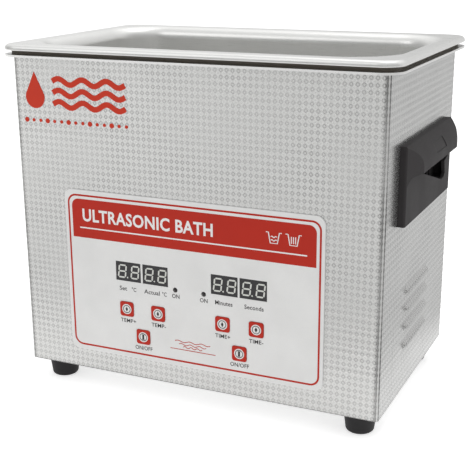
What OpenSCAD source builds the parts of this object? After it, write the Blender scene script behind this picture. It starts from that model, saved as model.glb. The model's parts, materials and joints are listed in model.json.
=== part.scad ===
// Bench-top ultrasonic cleaner with a pressed steel tank, heater and digital controls.
// Origin: centre of the footprint on the surface it stands on. +X right, +Y to the rear, +Z up.

/* [Housing] */
// Width of the sheet-metal housing
body_w = 256; // [252:1:260]
// Depth of the sheet-metal housing
body_d = 158; // [156:1:160]
// Height of the housing wall
body_h = 214.2; // [213:0.2:216]
// Thickness of the housing sheet
sheet = 1.2; // [1:0.1:1.3]
// Outside radius of the two folded front corners
fold_r = 1.6; // [1.4:0.1:3]
// How far the rim stands out past the housing
rim_over = 7.4; // [6.6:0.2:8]
// Outside corner radius of the rim
rim_r = 13; // [11:0.5:14]

/* [Tank] */
// Inside width of the tank
tank_w = 240; // [236:1:240]
// Inside depth of the tank, front to back
tank_d = 135; // [130:1:135]
// Inside height of the tank, rim to bottom
tank_h = 100; // [95:1:102]
// Upright corner radius of the tank
tank_r = 28; // [24:1:32]
// Radius of the roll from rim to wall
roll_r = 8; // [6:1:8]
// Thickness of the tank sheet
tank_t = 1; // [0.8:0.1:1.2]

/* [Control panel] */
// Width of the printed overlay
overlay_w = 185; // [180:0.2:188]
// Height of the printed overlay
overlay_h = 114.2; // [112:0.2:116]
// Height of the overlay's centre above the floor
overlay_z = 86.2; // [85:0.1:87]
// Thickness of the overlay
overlay_t = 1; // [0.8:0.1:1.2]
// Width of one two-digit display
display_w = 18.7; // [18:0.1:19]
// Height of one two-digit display
display_h = 13.2; // [12:0.1:14]
// Width of a key
key_w = 10.2; // [9:0.1:11]
// Height of a key
key_h = 10.2; // [9:0.1:11]
// Travel of a key
key_travel = 0.5; // [0.3:0.1:0.5]

/* [Handles] */
// Length of a handle, front to back
handle_l = 113.5; // [112:0.5:115]
// Height of a handle
handle_h = 49.6; // [49:0.1:51]
// Depth of the handle's face plate
handle_t = 5; // [4.8:0.1:5.4]
// How far the hood's nose stands out from the housing
hood_out = 9.8; // [9.4:0.1:10.8]

/* [Feet] */
// Height of a foot
foot_h = 15; // [13:0.5:17]
// Radius of a foot at the housing
foot_r = 11; // [10:0.5:12]

/* [Rear fittings] */
// Side of the square fan
fan_size = 80; // [80:1:80]
// Number of fan blades
fan_blades = 7; // [5:1:9]
// Lean of the power rocker at rest, half of its throw
rocker_lean = 8; // [6:1:9]

/* [Transducers] */
// Distance between the two transducers
transducer_gap = 120; // [110:1:124]
// Radius of the piezo rings
piezo_r = 17.5; // [16:0.5:19]

/* [Hidden] */
$fn = 48;
cut = 0.5;          // how far a cutting shape runs past a face
big = 400;          // longer than the whole object

half_w = body_w / 2;
half_d = body_d / 2;
in_w = half_w - sheet;                  // inside face of a side wall
in_d = half_d - sheet;                  // inside face of the front wall
wall_top = foot_h + body_h;

// Rim: frame, gasket and tank flange, from the housing up
frame_t = 1.4;
gasket_t = 2.7;
shoulder_r = 3.2;                       // rounded outer edge of the tank flange
hem_r = 0.6;                            // rolled hem under the shoulder
frame_top = wall_top + frame_t;
groove_top = frame_top + gasket_t;
rim_top = groove_top + hem_r + shoulder_r;
rim_w = body_w + 2 * rim_over;
rim_d = body_d + 2 * rim_over;
frame_skirt = 12;
tank_floor = rim_top - tank_h;          // inside face of the tank's bottom
tank_foot_r = 12;                       // radius between the tank's wall and bottom
tank_under = tank_floor - tank_t;

// Rear return flanges of the wrap, and the rear panel on them
return_w = 14;
return_top = wall_top - frame_skirt - 1;
panel_in = half_d - sheet;              // inside face of the rear panel

// Louvres in both side walls
louvre_rows = [83, 71, 58.4, 45.2];
louvre_l = 55;
louvre_r = 4;                           // radius of the pressed bulge
louvre_out = 2;                         // how far the bulge stands out of the wall

// Controls: [x, z] of the centres on the front
overlay_x = -0.4;
overlay_r = 6;
display_z = 90.5;
display_x = [-45.8, -25.5, 24.6, 44.8];
led_x = [-10.8, 9.9];
led_z = 82.6;
led_r = 1.6;
key_at = [[-47.8, 64], [-24, 64], [-35.8, 45.6], [23.2, 64], [46.9, 64], [35, 45.5]];
key_t = 0.6;
key_proud = 0.4;
key_corner = 1.6;
stem_r = 1.7;
gap = 0.2;                              // clearance round keys and displays
overlay_face = -half_d - overlay_t;
switch_body_h = 3.5;                    // height of a tactile switch on its board
well_depth = 1.7;
board_w = 128;
board_z = [33, 103];
board_face = -71.5;
board_t = 1.6;
stem_end = board_face - switch_body_h + well_depth - key_travel - 0.1;
board_fix = [60, 38, 98];               // x each side, low z and high z of the board's screws
screw3_r = 1.5;
screw4_r = 2;
slip = 0.05;                            // clearance of a screw in its hole

// Handle on the right-hand wall; the left one is the same piece turned half way round
handle_y = -53.5;
handle_top = 183.6;
handle_floor = handle_top - handle_h;
face_x = half_w + handle_t;
face_r = 1.5;                           // rounded upright edges of the face plate
nose_x = half_w + hood_out;
nose_z = 163.5;                         // underside of the hood
brow_r = 26.6;                          // radius of the arched brow
brow_h = 16.6;                          // its height above the upright nose
panel_sink = 0.35;
cheek_l = 22.6;                         // slanting front of the hood, from the face plate to the nose
cheek_r = 11;                           // round corner under the cheek
plate_t = 2.4;
tub_x = half_w - 5.4;                   // innermost wall of the finger tub
tub_y = [-35, 53];
tub_z = [141.9, 178.5];
tub_t = 1.6;
rib_x = tub_x + tub_t + 1.2;
handle_ribs = [2, 10, 18, 26, 34];
handle_fix = [[-46, 137.5], [53, 137.5]];   // y, z of the two screws
handle_bore = 3.6;
handle_screw_l = 4.4;

// Feet
foot_at = [half_w - 16, half_d - 16];
foot_low_r = 9.3;
foot_edge = 2.3;
foot_bore = 5;
foot_seat = 8;

// Rear fittings
fan_at = [56, 74];
fan_depth = 25;
fan_bore = 38;
fan_fix = 35.75;
hub_r = 15;
inlet_at = [-72, 66];
inlet_face = half_d + 2.5;
module_w = 27.4;
module_h = 47.4;
module_depth = 24;
socket_at = inlet_at[1] - 12.5;
socket_w = 24;
socket_h = 16.4;
socket_bevel = 4;
socket_depth = 18;
pin_l = 13;
drawer_at = inlet_at[1] + 2.6;
drawer_w = 24;
drawer_h = 7;
drawer_depth = 17;
switch_at = inlet_at[1] + 15.6;
switch_w = 19;
switch_h = 12.6;
rocker_l = 14.6;
rocker_w = 8.6;
rocker_y = half_d;
axle_r = 1.2;

// Rear panel screws: x each side and their heights
panel_fix_x = half_w - 7.5;
panel_fix_z = [30, 95, 160, 204];

// Transducer stack, downward from the tank's bottom
horn_h = 25;
electrode_t = 0.4;
piezo_t = 5;
mass_h = 18;
horn_z = tank_under - horn_h;
piezo_z = [horn_z - electrode_t - piezo_t, horn_z - 2 * electrode_t - 2 * piezo_t];
mass_z = piezo_z[1] - electrode_t - mass_h;
bolt_r = 4;

// Generator board on the bottom plate
gen_z = 28;
gen_x = [-104, 12];
gen_y = [-46, 34];
gen_top = gen_z + board_t;
gen_fix = [[-99, -41], [7, -41], [-99, 29], [7, 29]];

// Routes of the internal leads, chosen by hand: [points, radius, reference direction]
lead_routes = [
    [[[-60, 24.6, 100.1], [-60, 30, 99], [-56, 34, 88], [-48, 32, 70], [-42, 28, 50], [-40, 23, 38],
        [-40, 22, 29.9]], 1.1, [1, 0, 0]],
    [[[60, 24.6, 100.1], [58, 31, 99], [46, 36, 88], [26, 34, 70], [8, 30, 54], [2, 28, 42],
        [2, 27, 29.9]], 1.1, [0, 1, 0.4]],
    [[[-79, 49.8, 52.5], [-80, 45, 50], [-90, 40, 44], [-97, 32, 42], [-97, 22, 37], [-96, 16, 32],
        [-96, 16, 29.9]], 1.5, [1, 0, 0]],
    [[[-65, 49.8, 52.5], [-65, 44, 50], [-64, 38, 42], [-66, 32, 36], [-67, 30, 32], [-67, 30, 29.9]],
        1.5, [1, 0, 0]],
    [[[-72, 49.8, 56.5], [-73, 44, 55], [-86, 48, 51], [-102, 46, 42], [-109, 42, 36], [-110, 40, 31]],
        1.5, [0, 1, 0]],
    [[[80, 71.4, 150], [84, 71.4, 140], [92, 68, 124], [98, 50, 118], [70, 42, 116], [20, 40, 104],
        [-10, 34, 80], [-14, 31, 54], [-14, 30, 38], [-14, 30, 29.9]], 1.1, [0.2, 1, 0.3]],
];
ribbon_route = [[10, -69, 42], [10, -61, 41.4], [5, -54, 36], [-3, -49, 32.4], [-9, -44, 30.8],
    [-10, -42, 30.6]];

// ---------- helpers ----------

// Rounded rectangle centred on the origin
module rrect(w, h, r) {
    square([w - 2 * r, h], center = true);
    square([w, h - 2 * r], center = true);
    for (x = [-1, 1], y = [-1, 1])
        translate([x * (w / 2 - r), y * (h / 2 - r)]) circle(r);
}

// Rounded ring between two rounded rectangles, from z upward
module ring(outer, inner, z, h) {
    translate([0, 0, z]) linear_extrude(h) difference() {
        rrect(outer[0], outer[1], outer[2]);
        rrect(inner[0], inner[1], inner[2]);
    }
}

// Extrudes an outline drawn in x and z towards the front, from y
module frontwards(y, t) {
    translate([0, y, 0]) rotate([90, 0, 0]) linear_extrude(t) children();
}

// Extrudes an outline drawn in y and z to the right, from x
module rightwards(x, t) {
    translate([x, 0, 0]) rotate([90, 0, 90]) linear_extrude(t) children();
}

// Round bar along Y from y0 to y1
module bar_y(x, z, y0, y1, r) {
    translate([x, y1, z]) rotate([90, 0, 0]) cylinder(h = y1 - y0, r = r);
}

// Block between two corners
module block(a, b) {
    translate(a) cube(b - a);
}

function unit(v) = v / norm(v);
function heading(p, i) = unit(p[min(i + 1, len(p) - 1)] - p[max(i - 1, 0)]);

// Point at u on the smooth curve between points b and c, with neighbours a and d
function between(a, b, c, d, u) =
    0.5 * (2 * b + (c - a) * u + (2 * a - 5 * b + 4 * c - d) * u * u
    + (3 * b - a - 3 * c + d) * u * u * u);

// Smooth route through the points, with steps points for each stretch
function smooth(p, steps) = let (n = len(p) - 1) concat(
    [for (i = [0:n - 1], s = [0:steps - 1])
        between(p[max(i - 1, 0)], p[i], p[i + 1], p[min(i + 2, n)], s / steps)],
    [p[n]]);

// Tube with an oval section, ra across and rb up, swept along a route
module tube(route, ra, rb, ref, sides) {
    n = len(route);
    skin = [for (i = [0:n - 1]) let (t = heading(route, i), a = unit(cross(ref, t)), b = cross(t, a))
        for (k = [0:sides - 1])
            route[i] + ra * cos(360 * k / sides) * a + rb * sin(360 * k / sides) * b];
    walls = [for (i = [0:n - 2], k = [0:sides - 1])
        let (a = i * sides + k, b = i * sides + (k + 1) % sides)
        each [[a, a + sides, b + sides], [a, b + sides, b]]];
    first = [[for (k = [0:sides - 1]) k]];
    last = [[for (k = [sides - 1:-1:0]) (n - 1) * sides + k]];
    polyhedron(skin, concat(first, walls, last));
}

// Pan-head screw along Y: head from y outward to the rear, shank inward
module rear_screw(x, z, y, r, l, head_r, head_h) {
    difference() {
        bar_y(x, z, y, y + head_h, head_r);
        for (a = [45, 135])
            translate([x, y + head_h, z]) rotate([0, a, 0])
                cube([head_r * 1.1, 1.6, 0.8], center = true);
    }
    bar_y(x, z, y - l, y, r);
}

// ---------- housing ----------

// Front and both sides in one folded outline, open at the rear
module wrap_outline() {
    difference() {
        intersection() {
            rrect(body_w, body_d, fold_r);
            translate([-big / 2, -big + panel_in]) square(big);
        }
        rrect(2 * in_w, 2 * in_d, fold_r - sheet);
        translate([-in_w, 0]) square([2 * in_w, body_d]);
    }
}

// Bar along Y with round ends, centred in depth behind the wall
module bulge(z, r) {
    x = half_w + louvre_out - louvre_r;
    l = louvre_l / 2 - louvre_r;
    bar_y(x, z, -l, l, r);
    for (s = [-1, 1])
        translate([x, s * l, z]) sphere(r);
}

// Upper quarter of the bulge: a pressed hood, open below
module louvre(z) {
    intersection() {
        bulge(z, louvre_r);
        block([in_w, -louvre_l / 2, z], [half_w + louvre_out, louvre_l / 2, z + louvre_r]);
    }
}

module louvre_mouth(z) {
    intersection() {
        bulge(z, louvre_r - 0.8);
        block([in_w - cut, -louvre_l / 2, z - cut], [half_w + louvre_out, louvre_l / 2, z + louvre_r]);
    }
}

module display_cutout(x, extra) {
    translate([x, display_z])
        square([display_w + 2 * extra, display_h + 2 * extra], center = true);
}

module housing_wrap() color("silver") difference() {
    union() {
        translate([0, 0, foot_h]) linear_extrude(body_h) wrap_outline();
        for (s = [-1, 1])
            translate([s * (in_w - return_w / 2), panel_in - sheet / 2, (foot_h + return_top) / 2])
                cube([return_w, sheet, return_top - foot_h], center = true);
        for (turn = [0, 180], z = louvre_rows)
            rotate([0, 0, turn]) louvre(z);
    }
    for (turn = [0, 180], z = louvre_rows)
        rotate([0, 0, turn]) louvre_mouth(z);
    frontwards(-in_d + cut, sheet + 2 * cut) {
        for (x = display_x)
            display_cutout(x, gap);
        for (x = led_x)
            translate([x, led_z]) circle(led_r + gap);
        for (k = key_at)
            translate(k) circle(stem_r + 0.5);
    }
    for (turn = [0, 180])
        rotate([0, 0, turn]) {
            block([in_w - cut, tub_y[0] - gap, tub_z[0] - gap], [half_w + cut, tub_y[1] + gap, tub_z[1] + gap]);
            for (f = handle_fix)
                rightwards(in_w - cut, sheet + 2 * cut) translate(f) circle(screw4_r + 0.2);
        }
    for (s = [-1, 1], z = panel_fix_z)
        bar_y(s * panel_fix_x, z, panel_in - sheet - cut, panel_in + cut, screw3_r + 0.3 + slip);
}

module rear_panel() color("silver") difference() {
    block([-half_w + gap, panel_in, foot_h], [half_w - gap, half_d, wall_top]);
    bar_y(fan_at[0], fan_at[1], panel_in - cut, half_d + cut, fan_bore);
    for (x = [-fan_fix, fan_fix], z = [-fan_fix, fan_fix])
        bar_y(fan_at[0] + x, fan_at[1] + z, panel_in - cut, half_d + cut, screw4_r + 0.2);
    block([inlet_at[0] - module_w / 2 - gap, panel_in - cut, inlet_at[1] - module_h / 2 - gap],
        [inlet_at[0] + module_w / 2 + gap, half_d + cut, inlet_at[1] + module_h / 2 + gap]);
    for (s = [-1, 1], z = panel_fix_z)
        bar_y(s * panel_fix_x, z, panel_in - cut, half_d + cut, screw3_r + 0.5);
    for (x = [-92:12:-20])
        frontwards(half_d + cut, sheet + 2 * cut) translate([x, 130]) rrect(4, 30, 1.99);
}

module bottom_plate() color("silver") difference() {
    union() {
        block([-in_w, -in_d, foot_h], [in_w, panel_in - sheet, foot_h + sheet]);
        block([return_w - in_w, 0, foot_h], [in_w - return_w, panel_in, foot_h + sheet]);
        for (s = [-1, 1])
            translate([s * (in_w - sheet / 2), 0, foot_h + 6]) cube([sheet, 2 * foot_at[1], 12], center = true);
        block([-foot_at[0], -in_d, foot_h], [foot_at[0], -in_d + sheet, foot_h + 12]);
    }
    for (x = [-1, 1], y = [-1, 1])
        translate([x * foot_at[0], y * foot_at[1], foot_h - cut]) cylinder(h = 3, r = screw4_r + 0.2);
    for (p = gen_fix)
        translate([p[0], p[1], foot_h - cut]) cylinder(h = 3, r = screw3_r + 0.1);
    for (x = [30:12:90], y = [-30, 20])
        translate([x, y, foot_h - cut]) linear_extrude(3) rrect(4, 34, 1.99);
}

// Pressed frame that closes the top of the housing and carries the tank
module top_frame() color("gainsboro") {
    ring([rim_w, rim_d, rim_r], [tank_w + 4.4, tank_d + 4.4, tank_r + 2], wall_top, frame_t);
    ring([2 * in_w, 2 * in_d, 1.5], [2 * in_w - 2, 2 * in_d - 2, 1], wall_top - frame_skirt, frame_skirt);
}

module rim_gasket() color("#211c19") {
    ring([rim_w - 9, rim_d - 9, rim_r - 4.5], [tank_w + 8, tank_d + 8, tank_r + 4], frame_top, gasket_t);
    ring([rim_w - 8.4, rim_d - 8.4, rim_r - 4.2], [tank_w + 2 * roll_r + 2, tank_d + 2 * roll_r + 2,
        tank_r + roll_r + 1], groove_top, hem_r + shoulder_r - tank_t);
}

// ---------- tank ----------

// Wall section: r from the corner's centre, z up. Roll at the mouth, wall, radius at the foot
module tank_section() {
    translate([tank_r + roll_r, rim_top - roll_r]) intersection() {
        difference() {
            circle(roll_r);
            circle(roll_r - tank_t);
        }
        translate([-roll_r, 0]) square(roll_r);
    }
    translate([tank_r, tank_floor + tank_foot_r])
        square([tank_t, tank_h - roll_r - tank_foot_r]);
    translate([tank_r - tank_foot_r, tank_floor + tank_foot_r]) intersection() {
        difference() {
            circle(tank_foot_r + tank_t);
            circle(tank_foot_r);
        }
        translate([0, -tank_foot_r - tank_t]) square(tank_foot_r + tank_t);
    }
}

// Straight stretch of the wall, l long, its section standing at radius r from the middle line
module tank_straight(l) {
    rotate([90, 0, 0]) translate([0, 0, -l / 2]) linear_extrude(l) tank_section();
}

module tank() color("#b9bab8") {
    cx = tank_w / 2 - tank_r;
    cy = tank_d / 2 - tank_r;
    for (q = [[1, 1, 0], [-1, 1, 90], [-1, -1, 180], [1, -1, 270]])
        translate([q[0] * cx, q[1] * cy, 0]) rotate([0, 0, q[2]]) rotate_extrude(angle = 90) tank_section();
    for (a = [0, 180])
        rotate([0, 0, a]) translate([cx, 0, 0]) tank_straight(2 * cy);
    for (a = [90, 270])
        rotate([0, 0, a]) translate([cy, 0, 0]) tank_straight(2 * cx);
    translate([0, 0, tank_under]) linear_extrude(tank_t)
        rrect(tank_w - 2 * tank_foot_r, tank_d - 2 * tank_foot_r, tank_r - tank_foot_r);
    ring([rim_w - 2 * shoulder_r, rim_d - 2 * shoulder_r, rim_r - shoulder_r],
        [tank_w + 2 * roll_r, tank_d + 2 * roll_r, tank_r + roll_r], rim_top - tank_t, tank_t);
    flange_edge();
}

// Edge of the flange: a quarter-round shoulder that ends in a rolled hem; x is 0 at its centre
module edge_section() {
    intersection() {
        difference() {
            circle(shoulder_r);
            circle(shoulder_r - tank_t);
        }
        square(shoulder_r);
    }
    translate([shoulder_r - hem_r, 0]) circle(hem_r, $fn = 24);
}

// The edge section run round the flange's outline
module flange_edge() {
    x = rim_w / 2 - rim_r;
    y = rim_d / 2 - rim_r;
    inset = rim_r - shoulder_r;
    for (q = [[1, 1, 0], [-1, 1, 90], [-1, -1, 180], [1, -1, 270]])
        translate([q[0] * x, q[1] * y, rim_top - shoulder_r]) rotate([0, 0, q[2]])
            rotate_extrude(angle = 90) translate([inset, 0]) edge_section();
    for (side = [[x, 0, y, 0], [0, y, x, 90], [-x, 0, y, 180], [0, -y, x, 270]])
        translate([side[0], side[1], rim_top - shoulder_r]) rotate([0, 0, side[3]])
            translate([inset, 0, 0]) rotate([90, 0, 0]) translate([0, 0, -side[2]])
                linear_extrude(2 * side[2]) edge_section();
}

// ---------- control panel ----------

module control_overlay() color("whitesmoke") difference() {
    frontwards(-half_d, overlay_t) translate([overlay_x, overlay_z]) rrect(overlay_w, overlay_h, overlay_r);
    frontwards(-half_d + cut, overlay_t + 2 * cut) {
        for (x = display_x)
            display_cutout(x, gap / 2);
        for (x = led_x)
            translate([x, led_z]) circle(led_r + 0.1);
        for (k = key_at)
            translate(k) rrect(key_w + 2 * gap, key_h + 2 * gap, key_corner + gap);
    }
}

// Two-digit seven-segment display standing on the control board
module display(i) color("#4d4c4e") {
    frontwards(board_face, board_face - overlay_face - 0.1)
        display_cutout(display_x[i], 0);
}

// Indicator lamp with its collar and two legs
module led(i) color("#3c3a39") {
    bar_y(led_x[i], led_z, overlay_face + 1, -73, led_r);
    translate([led_x[i], overlay_face + 1, led_z]) sphere(led_r);
    bar_y(led_x[i], led_z, -74, -73, led_r + 0.4);
    for (s = [-0.8, 0.8])
        bar_y(led_x[i] + s, led_z, -73, board_face, 0.3);
}

module control_board() color("darkgreen") difference() {
    block([-board_w / 2, board_face, board_z[0]], [board_w / 2, board_face + board_t, board_z[1]]);
    for (s = [-1, 1], z = [board_fix[1], board_fix[2]])
        bar_y(s * board_fix[0], z, board_face - cut, board_face + board_t + cut, screw3_r + 0.1);
}

// Six tactile switches; the well in each takes the end of a key's stem
module tact_switches() color("#1e1e20") for (k = key_at) difference() {
    block([k[0] - 3, board_face - switch_body_h, k[1] - 3], [k[0] + 3, board_face, k[1] + 3]);
    bar_y(k[0], k[1], board_face - switch_body_h - cut, board_face - switch_body_h + well_depth, stem_r + 0.4);
}

// Key cap with the stem that presses its switch
module key(i) color("#c4302b") {
    face = overlay_face - key_proud;
    frontwards(face + key_t, key_t) translate(key_at[i]) rrect(key_w, key_h, key_corner);
    bar_y(key_at[i][0], key_at[i][1], face + key_t - 0.1, stem_end, stem_r);
}

module hex_spacer(h, r) {
    difference() {
        cylinder(h = h, r = r, $fn = 6);
        translate([0, 0, -cut]) cylinder(h = h + 2 * cut, r = screw3_r + slip);
    }
}

module board_standoffs() color("goldenrod") {
    for (s = [-1, 1], z = [board_fix[1], board_fix[2]])
        translate([s * board_fix[0], -in_d, z]) rotate([-90, 0, 0]) hex_spacer(in_d + board_face, 3.1);
    for (p = gen_fix)
        translate([p[0], p[1], foot_h + sheet]) hex_spacer(gen_z - foot_h - sheet, 3.1);
}

module board_screws() color("silver") {
    for (s = [-1, 1], z = [board_fix[1], board_fix[2]])
        rear_screw(s * board_fix[0], z, board_face + board_t, screw3_r, 5, 2.8, 1.8);
    for (p = gen_fix)
        translate([p[0], p[1], gen_top]) rotate([90, 0, 0]) rear_screw(0, 0, 0, screw3_r, 6, 2.8, 1.8);
}

// ---------- transducers ----------

module at_transducers() {
    for (s = [-1, 1])
        translate([s * transducer_gap / 2, 0, 0]) children();
}

module transducer_horns() color("#b0b3b7") at_transducers() difference() {
    union() {
        translate([0, 0, tank_under - 6]) cylinder(h = 6, r = piezo_r + 7);
        translate([0, 0, horn_z]) cylinder(h = horn_h - 6, r1 = piezo_r + 0.5, r2 = piezo_r + 7);
    }
    translate([0, 0, horn_z - cut]) cylinder(h = 19, r = bolt_r + slip);
}

module piezo_rings() color("#8d8577") at_transducers() for (z = piezo_z)
    translate([0, 0, z]) difference() {
        cylinder(h = piezo_t, r = piezo_r);
        translate([0, 0, -cut]) cylinder(h = piezo_t + 2 * cut, r = bolt_r + 2.5);
    }

// Thin contact discs above, between and below the rings, each with a solder tab
module electrodes() color("#b98a4a") at_transducers()
    for (z = [horn_z - electrode_t, piezo_z[0] - electrode_t, piezo_z[1] - electrode_t])
        translate([0, 0, z]) difference() {
            union() {
                cylinder(h = electrode_t, r = piezo_r);
                translate([-2.5, 0, 0]) cube([5, piezo_r + 6, electrode_t]);
            }
            translate([0, 0, -cut]) cylinder(h = electrode_t + 2 * cut, r = bolt_r + 1);
        }

module back_masses() color("#7d8084") at_transducers() translate([0, 0, mass_z]) difference() {
    cylinder(h = mass_h, r = piezo_r);
    translate([0, 0, -cut]) cylinder(h = mass_h + 2 * cut, r = bolt_r + 0.3);
    translate([0, 0, -cut]) cylinder(h = 5 + cut, r = bolt_r + 3.2);
}

module transducer_bolts() color("#2f3133") at_transducers() translate([0, 0, mass_z - 3]) difference() {
    union() {
        cylinder(h = 8, r = bolt_r + 2.5);
        cylinder(h = mass_h + 3 + 3 * electrode_t + 2 * piezo_t + 17, r = bolt_r);
    }
    translate([0, 0, -cut]) cylinder(h = 4 + cut, r = 3.5, $fn = 6);
}

// ---------- heating and sensing ----------

module heater_pads() color("#b2543a") for (s = [-1, 1]) {
    y = s * (tank_d / 2 + tank_t + 0.8);
    translate([0, y, 162]) cube([2 * (tank_w / 2 - tank_r) - 8, 1.6, 40], center = true);
}

module temp_sensor() color("#d8d6cf") {
    translate([0, -8, tank_under - 5]) cylinder(h = 5, r = 6);
    translate([0, -8, tank_under - 9]) cylinder(h = 4, r = 3);
}

// Snap-disc thermostat with two blade terminals
module thermal_cutout() color("#2a2a2c") {
    translate([0, 34, tank_under - 9]) cylinder(h = 9, r = 8.2);
    for (s = [-1, 1])
        translate([s * 4, 34, tank_under - 15]) cube([0.8, 6.3, 12], center = true);
}

// ---------- generator ----------

module generator_board() color("seagreen") difference() {
    block([gen_x[0], gen_y[0], gen_z], [gen_x[1], gen_y[1], gen_top]);
    for (p = gen_fix)
        translate([p[0], p[1], gen_z - cut]) cylinder(h = 3, r = screw3_r + 0.1);
}

// Extruded heat sink: a wall with fins standing off it
module heatsink() color("#a9acb0") translate([-88, -40, gen_top]) {
    cube([62, 4, 34]);
    for (x = [0:6:60])
        translate([x, 4, 0]) cube([2, 14, 34]);
}

module power_transistors() color("#232325") for (x = [-82, -64, -46]) {
    block([x, -44.6, gen_top + 8], [x + 14, -40, gen_top + 26]);
    for (l = [3, 7, 11])
        block([x + l - 0.6, -43, gen_top], [x + l + 0.6, -42.2, gen_top + 8]);
}

// Ferrite core round a wound bobbin
module transformer() color("#3a3836") translate([-20, -30, gen_top]) {
    difference() {
        cube([26, 36, 30]);
        translate([-cut, 6, 6]) cube([27, 24, 18]);
    }
    translate([13, 18, 6]) cylinder(h = 18, r = 11);
}

module inductor() color("#b5622c") translate([-58, 12, gen_top + 14])
    rotate([90, 0, 0]) rotate_extrude() translate([9, 0]) circle(5);

module capacitors() color("#20304f") for (c = [[-84, 6, 9, 30], [-84, 24, 7, 24], [-30, 22, 6, 20], [-16, 22, 6, 20]])
    translate([c[0], c[1], gen_top]) cylinder(h = c[3], r = c[2]);

module relay() color("#2c63a8") block([-8, 10, gen_top], [7, 24, gen_top + 15]);

// ---------- fan ----------

module at_fan() {
    translate([fan_at[0], panel_in, fan_at[1]]) rotate([90, 0, 0]) children();
}

// Square duct with four spokes that carry the bearing boss
module fan_frame() color("#1c1c1e") at_fan() {
    linear_extrude(fan_depth) difference() {
        rrect(fan_size, fan_size, 4);
        circle(fan_bore);
        for (x = [-fan_fix, fan_fix], y = [-fan_fix, fan_fix])
            translate([x, y]) circle(screw4_r + slip);
    }
    translate([0, 0, fan_depth - 3]) linear_extrude(3) difference() {
        intersection() {
            union() {
                circle(hub_r);
                for (a = [45, 135])
                    rotate(a) square([2 * fan_bore + 2, 4], center = true);
            }
            circle(fan_bore + 0.5);
        }
        circle(1.5 + slip);
    }
    translate([0, 0, 14]) linear_extrude(fan_depth - 17) difference() {
        circle(3.6);
        circle(1.5 + slip);
    }
}

// Cup-shaped hub with pitched blades and its shaft
module fan_rotor() color("#2a2a2d") at_fan() {
    difference() {
        translate([0, 0, 3.4]) cylinder(h = 17.6, r = hub_r);
        translate([0, 0, 5.4]) cylinder(h = 20, r = hub_r - 2);
    }
    translate([0, 0, 4.4]) cylinder(h = fan_depth - 5.4, r = 1.5);
    intersection() {
        for (b = [0:fan_blades - 1])
            rotate([0, 0, b * 360 / fan_blades]) translate([hub_r - 1, 0, 11.7])
                rotate([38, 0, 0]) translate([0, -11, -0.8]) cube([fan_bore, 22, 1.6]);
        difference() {
            translate([0, 0, 4]) cylinder(h = 16, r = fan_bore - 1.2);
            translate([0, 0, 3]) cylinder(h = 18, r = hub_r - 0.5);
        }
    }
}

// Wire guard outside the panel: rings, four legs and their eyelets
module fan_guard() color("#c9cbcd") translate([fan_at[0], half_d, fan_at[1]]) rotate([-90, 0, 0]) difference() {
    union() {
        for (r = [9, 16.5, 24, 31.5])
            translate([0, 0, 2.2]) rotate_extrude() translate([r, 0]) circle(0.8);
        for (a = [45:90:315])
            rotate([0, 0, a]) {
                translate([7, 0, 0.9]) rotate([0, 90, 0]) cylinder(h = fan_fix * sqrt(2) - 10.8, r = 0.8);
                translate([fan_fix * sqrt(2), 0, 0]) cylinder(h = 1.2, r = 4.2);
            }
    }
    for (x = [-fan_fix, fan_fix], y = [-fan_fix, fan_fix])
        translate([x, y, -cut]) cylinder(h = 3, r = screw4_r + 0.2);
}

module fan_screws() color("silver") for (x = [-fan_fix, fan_fix], z = [-fan_fix, fan_fix])
    rear_screw(fan_at[0] + x, fan_at[1] + z, half_d + 1.2, screw4_r, 10, 3.7, 2.2);

// ---------- mains inlet ----------

// Mouth of the appliance inlet: a rectangle with its two upper corners bevelled
module socket_mouth() {
    w = socket_w / 2;
    h = socket_h / 2;
    polygon([[-w, -h], [w, -h], [w, h - socket_bevel], [w - socket_bevel, h], [socket_bevel - w, h],
        [-w, h - socket_bevel]]);
}

// Snap-in module with an appliance inlet, a fuse drawer and a switch, one above the other
module inlet_socket() color("#19191b") difference() {
    union() {
        block([inlet_at[0] - module_w / 2, inlet_face - module_depth, inlet_at[1] - module_h / 2],
            [inlet_at[0] + module_w / 2, half_d, inlet_at[1] + module_h / 2]);
        frontwards(inlet_face, inlet_face - half_d) translate(inlet_at) rrect(31, 51, 1.5);
    }
    frontwards(inlet_face + cut, socket_depth + cut) translate([inlet_at[0], socket_at])
        socket_mouth();
    block([inlet_at[0] - drawer_w / 2, inlet_face - drawer_depth - 1, drawer_at - drawer_h / 2],
        [inlet_at[0] + drawer_w / 2, inlet_face + cut, drawer_at + drawer_h / 2]);
    block([inlet_at[0] - switch_w / 2 - 0.1, inlet_face - 17, switch_at - switch_h / 2 - 0.1],
        [inlet_at[0] + switch_w / 2 + 0.1, inlet_face + cut, switch_at + switch_h / 2 + 0.1]);
    for (x = [-7, 0, 7])
        block([inlet_at[0] + x - 2, inlet_face - module_depth - cut, socket_at + (x == 0 ? 3 : -1) - 1.5],
            [inlet_at[0] + x + 2, inlet_face - socket_depth + cut, socket_at + (x == 0 ? 3 : -1) + 1.5]);
}

// Live, earth and neutral pins with their rear tabs
module inlet_pins() color("#c8c6bd") for (x = [-7, 0, 7])
    block([inlet_at[0] + x - 2, inlet_face - module_depth - 7, socket_at + (x == 0 ? 3 : -1) - 1],
        [inlet_at[0] + x + 2, inlet_face - socket_depth + pin_l, socket_at + (x == 0 ? 3 : -1) + 1]);

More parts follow.
